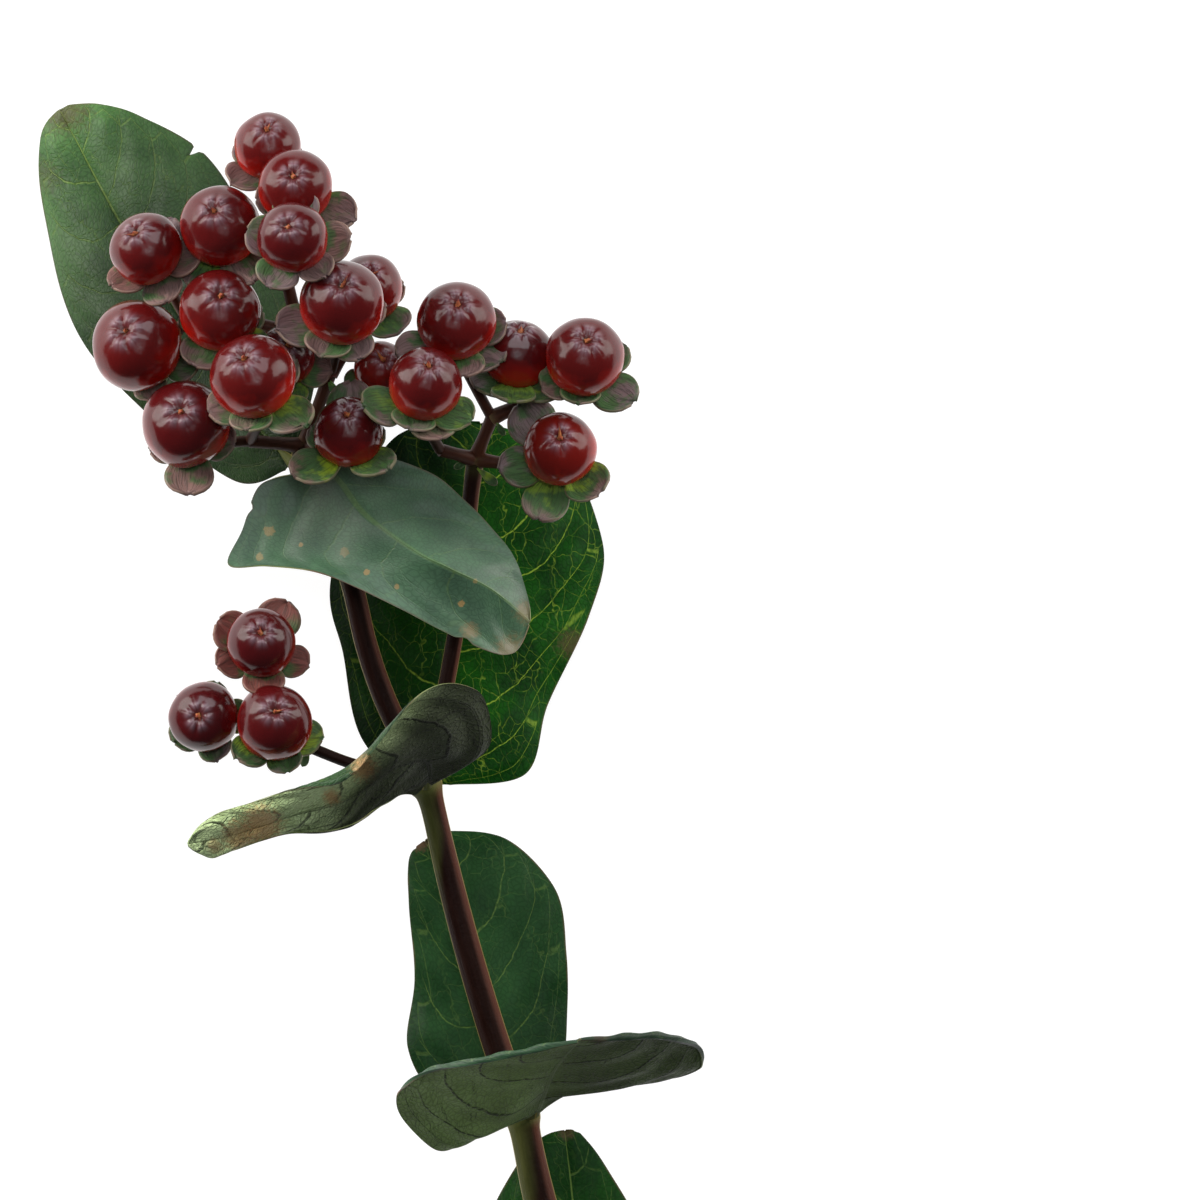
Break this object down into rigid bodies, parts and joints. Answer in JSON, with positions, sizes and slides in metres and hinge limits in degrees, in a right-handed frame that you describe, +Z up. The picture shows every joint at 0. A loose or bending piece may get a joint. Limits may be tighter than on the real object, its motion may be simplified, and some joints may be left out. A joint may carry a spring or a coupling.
{
  "type": "hypericum berry stem",
  "caption": "Cut woody stem lying down, with opposite oval leaves and clustered glossy dark red berries, each on a ring of small rounded sepals.",
  "frame": {"origin": "on the surface it lies on, under the middle of its outline", "axes": "+Y along the stem towards the berries, +Z up from the surface, +X to the right when the berries are seen at the top"},
  "size_m": [0.1218, 0.2936, 0.0565],
  "materials": {
    "bark": "thin smooth bark, dark red-brown to green, with fine pale ridges",
    "leaf": "matte to satin leaf blade, dark green above with pale veins, grey-green below",
    "berry": "glossy dark red berry skin"
  },
  "bodies": {
    "root": {"stem": "bark", "leaf_1_back": "leaf", "leaf_1_front": "leaf", "leaf_2_back": "leaf", "leaf_2_front": "leaf", "leaf_3_back": "leaf", "leaf_3_front": "leaf", "leaf_4_back": "leaf", "leaf_4_front": "leaf", "leaf_5_left": "leaf", "leaf_5_right": "leaf", "berries_top": "berry", "berries_right": "berry", "berries_left": "berry"}
  },
  "joints": []
}
